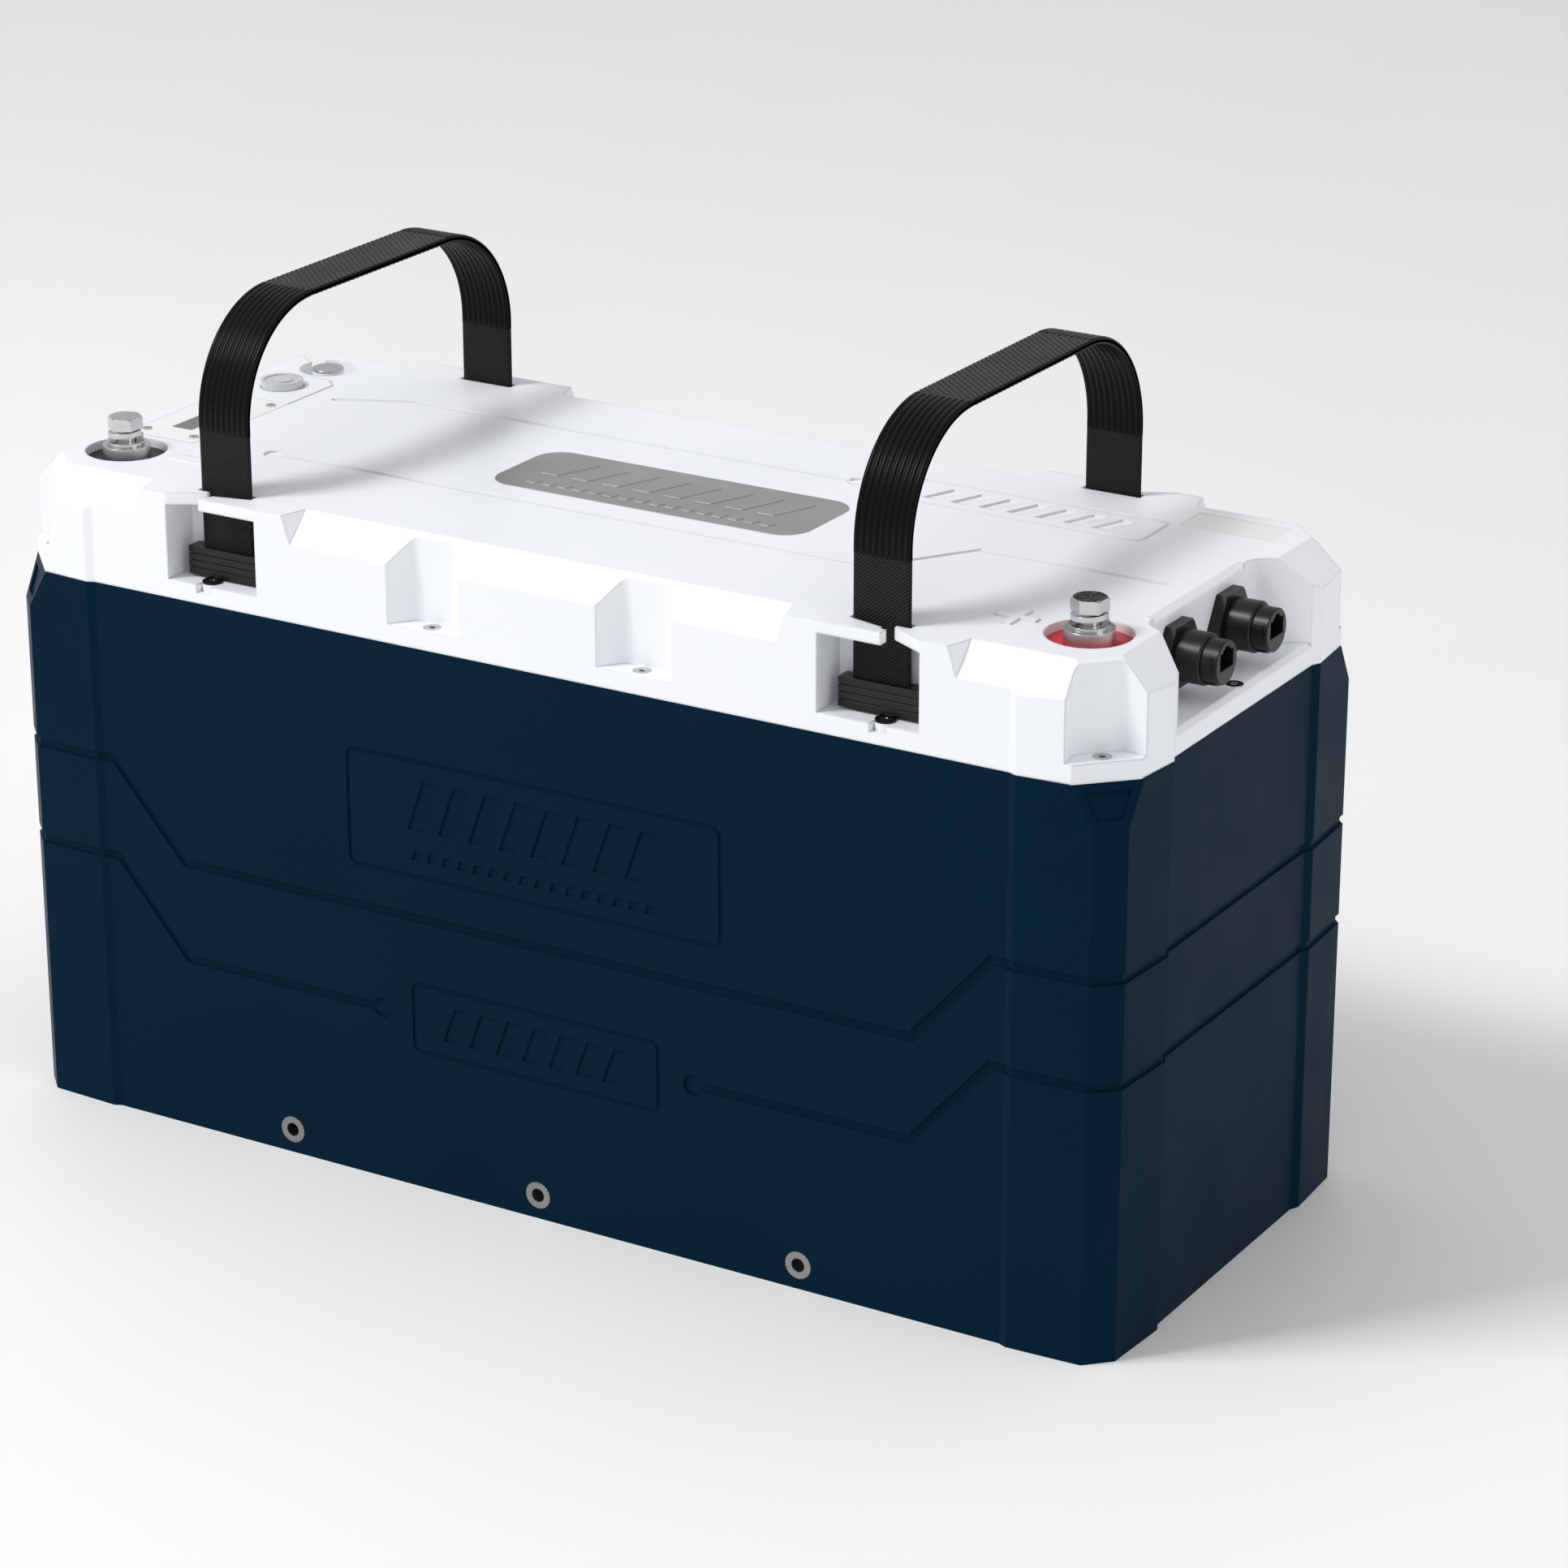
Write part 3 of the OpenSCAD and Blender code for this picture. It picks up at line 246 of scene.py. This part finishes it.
def clear_plastic(name, dark, light, rough, clear, edge):
    """Tinted plastic that lets through the share clear of the light."""
    s = Shader(name)
    s.tones(s.noise(scale=60, detail=3), dark, light)
    s.roughness(s.noise(scale=80, detail=3), low=rough - 0.04, high=rough + 0.04)
    s.bsdf.inputs["Transmission Weight"].default_value = clear
    s.bsdf.inputs["IOR"].default_value = ACRYLIC_IOR
    ripples = s.noise(scale=1500, detail=2)
    surface = s.bump(ripples, strength=0.1, distance=0.04 * MM, under=s.rounded(edge))
    s.join(surface, s.bsdf.inputs["Normal"])
    return s.material


def floor_material():
    s = Shader("pale_floor")
    s.tones(s.noise(scale=3, detail=2), grey(0.96), grey(0.98))
    s.bsdf.inputs["Roughness"].default_value = 0.6
    return s.material


# Each material by the slot that takes it in the record
MOULDED = {
    "case_plastic": dict(
        dark=(0.0016, 0.0142, 0.0305), light=(0.0019, 0.0156, 0.0335),
        rough=0.42, grain=0.35, edge=1.0 * MM, specular=0.035, glint=(0.35, 0.65, 1),
    ),
    "lid_plastic": dict(
        dark=(0.87, 0.885, 0.92), light=(0.9, 0.91, 0.94), rough=0.4, grain=0.2, edge=1.5 * MM,
    ),
    "black_rubber": dict(
        dark=grey(0.007), light=grey(0.011), rough=0.6, grain=0.4, edge=0.3 * MM, specular=0.3,
    ),
    "label_paper": dict(
        dark=(0.82, 0.82, 0.8), light=(0.87, 0.87, 0.85), rough=0.45, grain=0.1, edge=0.1 * MM,
    ),
    "panel_film": dict(
        dark=(0.86, 0.87, 0.88), light=(0.89, 0.9, 0.91), rough=0.35, grain=0.1, edge=0.1 * MM,
    ),
    "circuit_board": dict(
        dark=(0.01, 0.07, 0.03), light=(0.02, 0.1, 0.05), rough=0.35, grain=0.3, edge=0.1 * MM,
    ),
    "black_plastic": dict(
        dark=grey(0.005), light=grey(0.008), rough=0.35, grain=0.2, edge=0.4 * MM, specular=0.3,
    ),
    "red_plastic": dict(
        dark=(0.6, 0.003, 0.022), light=(0.66, 0.005, 0.03), rough=0.22, grain=0.1, edge=0.4 * MM,
    ),
    "grip_rubber": dict(
        dark=grey(0.003), light=grey(0.005), rough=0.3, grain=0.2, edge=0.2 * MM, specular=0.09,
    ),
    "cell_film": dict(
        dark=(0.01, 0.06, 0.25), light=(0.015, 0.08, 0.3), rough=0.25, grain=0.1, edge=1.0 * MM,
    ),
    "spacer_board": dict(
        dark=(0.6, 0.52, 0.3), light=(0.68, 0.6, 0.38), rough=0.6, grain=0.3, edge=0.1 * MM,
    ),
    "foam": dict(
        dark=grey(0.021), light=grey(0.036), rough=0.9, grain=0.9, edge=0.8 * MM,
    ),
    "heater_film": dict(
        dark=(0.45, 0.16, 0.01), light=(0.55, 0.22, 0.02), rough=0.3, grain=0.1, edge=0.1 * MM,
    ),
    "red_cable": dict(
        dark=(0.4, 0.006, 0.01), light=(0.5, 0.01, 0.015), rough=0.45, grain=0.2, edge=0.8 * MM,
    ),
    "black_cable": dict(
        dark=grey(0.01), light=grey(0.016), rough=0.45, grain=0.2, edge=0.8 * MM,
    ),
    "ribbon": dict(
        dark=grey(0.5), light=grey(0.6), rough=0.5, grain=0.2, edge=0.1 * MM,
    ),
}
METALS = {
    "steel": dict(
        dark=grey(0.52), light=grey(0.66), rough=0.16, edge=0.2 * MM, stretch=(1, 1, 6),
    ),
    "black_steel": dict(dark=grey(0.02), light=grey(0.03), rough=0.4, edge=0.2 * MM),
    "nameplate_metal": dict(
        dark=grey(0.4), light=grey(0.45), rough=0.45, edge=0.3 * MM, stretch=(1, 30, 1),
        strength=0.3, metallic=0.8,
    ),
    "spring_steel": dict(dark=grey(0.6), light=grey(0.7), rough=0.25, edge=0.1 * MM),
    "insert_metal": dict(dark=grey(0.24), light=grey(0.36), rough=0.35, edge=0.05 * MM),
    "post_metal": dict(
        dark=grey(0.6), light=grey(0.72), rough=0.28, edge=0.5 * MM, stretch=(1, 1, 8),
    ),
    "contact_metal": dict(dark=(0.7, 0.5, 0.2), light=(0.8, 0.6, 0.28), rough=0.25, edge=0.1 * MM),
    "aluminium_plate": dict(
        dark=grey(0.61), light=grey(0.71), rough=0.35, edge=0.4 * MM, stretch=(1, 1, 12),
    ),
    "copper_link": dict(
        dark=(0.6, 0.26, 0.12), light=(0.75, 0.36, 0.18), rough=0.3, edge=0.3 * MM, stretch=(6, 1, 1),
    ),
}
CLEAR = {
    "window_film": dict(
        dark=(0.2, 0.17, 0.16), light=(0.22, 0.19, 0.18), rough=0.12, clear=0.3, edge=0.1 * MM,
    ),
    "button_clear": dict(
        dark=(0.72, 0.73, 0.75), light=(0.79, 0.8, 0.82), rough=0.2, clear=0.25, edge=0.8 * MM,
    ),
}
WOVEN = {
    "webbing": dict(
        dark=grey(0.002), light=grey(0.022), pitch=1.2 * MM, slant=radians(38), crossing=0.3,
        waver=0.6, depth=0.3 * MM, rough=0.6, specular=0.15,
    ),
}

# Nodes whose finish differs from the rest of their slot
FINISHES = {
    "front_inserts": "insert_metal",
    "back_inserts": "insert_metal",
}


def make_materials():
    made = {}
    for kind, looks in ((moulded, MOULDED), (metal, METALS), (clear_plastic, CLEAR), (woven, WOVEN)):
        for name, look in looks.items():
            made[name] = kind(name, **look)
    return made


def paint_cad():
    """Every CAD node takes the material of its slot in the record, or the finish that differs."""
    for part in frame["record"]["subparts"]:
        mesh = nodes[part["node"]].data
        mesh.materials.clear()
        mesh.materials.append(materials[FINISHES.get(part["node"], part["material_slot"])])


# ---- handles -------------------------------------------------------------------

WEB_T = 2 * MM
WEB_BEND = 47 * MM                # radius of the webbing's middle line
WEB_STEP = 2 * MM                 # length of one ring of faces
WEB_COLUMNS = 24                  # faces across each side
GRIP_T = 2.5 * MM
GRIP_STEP = 0.4 * MM
GRIP_COLUMNS = 90
EDGE_R = 0.5 * MM                 # a strip thins over this distance to each edge
EDGE_T = 0.55                     # thickness left at the very edge, as a share
RIBS = 9                          # lengthwise ribs on the grip's bends
RIB_HIGH = 0.45 * MM
RIB_FULLNESS = 0.7                # below 1, a rib is fuller than a sine wave
SLANT_PITCH = 3.2 * MM            # slanting ribs on its flat top
SLANT_HIGH = 0.22 * MM
SLANT = 0.9                       # their lead along the strip, per distance from its middle line
FADE = 2 * MM                     # ribs rise and fall over this length


class Arch:
    """The webbing's middle line, measured from the CAD webbing.

    s is the length along it, from its front end to its back end.
    """

    def __init__(self, node):
        low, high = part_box(node)
        self.x = (low.x + high.x) / 2
        self.width = high.x - low.x
        self.leg_y = high.y - WEB_T / 2
        self.foot = low.z
        self.top = high.z - WEB_T / 2
        self.leg = self.top - WEB_BEND - self.foot
        self.bend = WEB_BEND * pi / 2
        self.flat = 2 * (self.leg_y - WEB_BEND)
        self.length = 2 * (self.leg + self.bend) + self.flat

    def at(self, s):
        """Point (y, z) and outward direction (y, z) at s."""
        if s > self.length / 2:
            y, z, out_y, out_z = self.at(self.length - s)
            return -y, z, -out_y, out_z
        if s < self.leg:
            return -self.leg_y, self.foot + s, -1.0, 0.0
        if s < self.leg + self.bend:
            turn = (s - self.leg) / WEB_BEND
            out_y, out_z = -cos(turn), sin(turn)
            y = -self.leg_y + WEB_BEND + WEB_BEND * out_y
            z = self.top - WEB_BEND + WEB_BEND * out_z
            return y, z, out_y, out_z
        return s - self.leg - self.bend - self.flat / 2, self.top, 0.0, 1.0


def across(columns):
    """Points round a strip's section: u from -1 to 1 on its outer face, then back on its inner one."""
    outer = [(i / columns * 2 - 1, 1) for i in range(columns + 1)]
    inner = [(1 - i / columns * 2, -1) for i in range(columns + 1)]
    return outer + inner


def strip_faces(size, count):
    """Faces that join count + 1 rings of size points each, and one across each end."""
    faces = []
    for row in range(count):
        for i in range(size):
            a, b = row * size + i, row * size + (i + 1) % size
            faces.append((a, b, b + size, a + size))
    faces.append(tuple(range(size - 1, -1, -1)))
    faces.append(tuple(range(count * size, (count + 1) * size)))
    return faces


def swept_strip(name, arch, start, end, step, columns, thickness, relief, material, body):
    """Closed strip along the arch, from start to end.

    relief(u, s) is how far its two faces stand out, at u across it and s along it.
    """
    count = round((end - start) / step)
    half = arch.width / 2
    verts, uvs = [], []
    ring = across(columns)
    for row in range(count + 1):
        s = start + (end - start) * row / count
        y, z, out_y, out_z = arch.at(s)
        for u, face in ring:
            edge = min(1, (1 - abs(u)) * half / EDGE_R)
            share = EDGE_T + (1 - EDGE_T) * edge ** 0.5
            h = face * (thickness / 2 * share + relief(u, s) * edge)
            verts.append((arch.x + u * half, y + out_y * h, z + out_z * h))
            uvs.append((u * half, s))
    mesh = bpy.data.meshes.new(name)
    mesh.from_pydata(verts, [], strip_faces(len(ring), count))
    layer = mesh.uv_layers.new(name="along")
    for loop in mesh.loops:
        layer.data[loop.index].uv = uvs[loop.vertex_index]
    mesh.polygons.foreach_set("use_smooth", [True] * len(mesh.polygons))
    mesh.materials.append(material)
    piece = bpy.data.objects.new(name, mesh)
    bpy.context.scene.collection.objects.link(piece)
    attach(piece, body)
    return piece


def fade(value, start, end):
    """Smooth step from 0 at start to 1 at end."""
    t = min(1, max(0, (value - start) / (end - start)))
    return t * t * (3 - 2 * t)


def make_handle(side):
    arch = Arch(side + "_webbing")
    grip_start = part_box(side + "_grip")[0].z - arch.foot
    flat_start = arch.leg + arch.bend
    half = arch.width / 2

    def ribbed(u, s):
        along = min(s, arch.length - s)
        started = fade(along, grip_start, grip_start + FADE)
        on_bend = started * (1 - fade(along, flat_start - FADE, flat_start))
        rib = 0.5 - 0.5 * cos((u + 1) * RIBS * pi)
        on_flat = fade(along, flat_start - FADE / 2, flat_start + FADE)
        slanting = 0.5 + 0.5 * sin(2 * pi * (s + SLANT * u * half) / SLANT_PITCH)
        return RIB_HIGH * on_bend * rib ** RIB_FULLNESS + SLANT_HIGH * on_flat * slanting

    body = side + "_handle"
    web = swept_strip(
        side + "_web", arch, 0, arch.length, WEB_STEP, WEB_COLUMNS,
        WEB_T, lambda u, s: 0, materials["webbing"], body,
    )
    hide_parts(side + "_webbing")
    grip = swept_strip(
        side + "_ribbed_grip", arch, grip_start, arch.length - grip_start, GRIP_STEP, GRIP_COLUMNS,
        GRIP_T, ribbed, materials["grip_rubber"], body,
    )
    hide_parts(side + "_grip")


# ---- the scene -----------------------------------------------------------------

materials = make_materials()
paint_cad()
for side in ("left", "right"):
    make_handle(side)
add_camera()
add_floor()
add_sky()
for name, light in LIGHTS.items():
    add_area(name, **light)
bpy.context.scene.view_settings.view_transform = "Standard"
